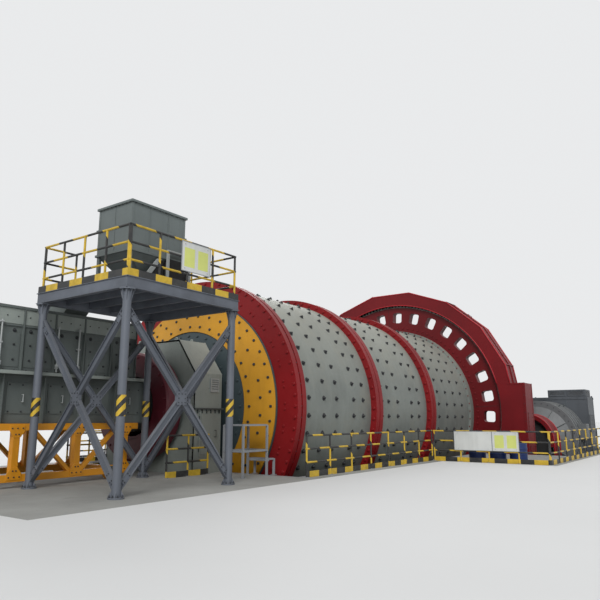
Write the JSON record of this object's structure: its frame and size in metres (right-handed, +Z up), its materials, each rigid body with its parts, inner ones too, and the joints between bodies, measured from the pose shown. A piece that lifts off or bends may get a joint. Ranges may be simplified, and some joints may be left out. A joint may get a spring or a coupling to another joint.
{
  "type": "geared ball mill",
  "caption": "Overflow ball mill: bolted drum on trunnion bearings, girth gear with two pinion drives, feed chute car, feed platform and concrete foundation.",
  "frame": {"origin": "middle of the underside of the foundation slab", "axes": "+Y along the mill from the feed end to the discharge end, +X to the side with the feed platform, +Z up"},
  "size_m": [18.0012, 30.8, 11.9074],
  "materials": {
    "concrete": "raw grey concrete",
    "bearing_paint": "semi-gloss dark grey paint",
    "casing_paint": "satin grey-green paint",
    "guard_red": "semi-gloss dark red paint",
    "motor_grey": "satin blue-grey paint",
    "chute_steel": "satin dark grey paint, dusty",
    "trolley_orange": "semi-gloss orange-yellow paint",
    "platform_steel": "satin blue-grey paint",
    "rail_yellow": "yellow paint with black bands",
    "hopper_paint": "satin grey paint",
    "stand_grey": "galvanized grey",
    "lube_blue": "gloss blue paint",
    "flange_red": "semi-gloss dark red paint",
    "shell_paint": "satin grey-green paint, dusty",
    "head_slate": "satin slate paint",
    "ring_yellow": "semi-gloss yellow-orange paint",
    "trunnion_maroon": "semi-gloss maroon paint",
    "gear_steel": "dark red paint, bright steel teeth",
    "pinion_steel": "machined steel, greased",
    "clutch_dark": "satin near-black paint"
  },
  "bodies": {
    "foundation": {"base_slab": "concrete", "feed_block": "concrete", "pit_walls": "concrete", "drive_aprons": "concrete", "bay_walls": "concrete", "discharge_pier": "concrete", "drive_plinths": "concrete", "trunnion_bearings": "bearing_paint", "bearing_casings": "casing_paint", "gear_guard_hood": "guard_red", "gear_guard_boxes": "guard_red", "gear_guard_sump": "guard_red", "pinion_bearings": "guard_red", "clutch_guards": "guard_red", "motors": "motor_grey", "motor_coolers": "motor_grey", "chute_box": "chute_steel", "feed_spout": "chute_steel", "chute_trolley": "trolley_orange", "platform_legs": "platform_steel", "platform_bracing": "platform_steel", "platform_deck": "platform_steel", "platform_toe_boards": "rail_yellow", "platform_railing": "rail_yellow", "hopper": "hopper_paint", "hopper_duct": "chute_steel", "drum_fences": "rail_yellow", "drive_fences": "rail_yellow", "feed_fences": "rail_yellow", "access_stand": "stand_grey", "lube_drums": "lube_blue"},
    "drum": {"feed_flange": "flange_red", "can_1": "shell_paint", "can_2": "shell_paint", "can_3": "shell_paint", "can_flanges": "flange_red", "feed_head": "head_slate", "head_ring": "ring_yellow", "feed_trunnion": "trunnion_maroon", "girth_gear": "gear_steel", "discharge_head": "head_slate", "discharge_trunnion": "trunnion_maroon"},
    "aisle_pinion": {"pinion_aisle": "pinion_steel", "clutch_aisle": "clutch_dark"},
    "far_pinion": {"pinion_far": "pinion_steel", "clutch_far": "clutch_dark"}
  },
  "joints": [
    {"name": "drum_spin", "type": "hinge", "parent": "foundation", "child": "drum", "pos_m": [0, 0, 6], "axis": [0, 1, 0], "continuous": true},
    {"name": "aisle_pinion_spin", "type": "hinge", "parent": "foundation", "child": "aisle_pinion", "pos_m": [5.68058, 7.18, 4.68853], "axis": [0, 1, 0], "continuous": true},
    {"name": "far_pinion_spin", "type": "hinge", "parent": "foundation", "child": "far_pinion", "pos_m": [-5.68058, 7.18, 4.68853], "axis": [0, 1, 0], "continuous": true}
  ],
  "couplings": [
    {"joint": "aisle_pinion_spin", "follows": "drum_spin", "ratio": -10},
    {"joint": "far_pinion_spin", "follows": "drum_spin", "ratio": -10}
  ]
}
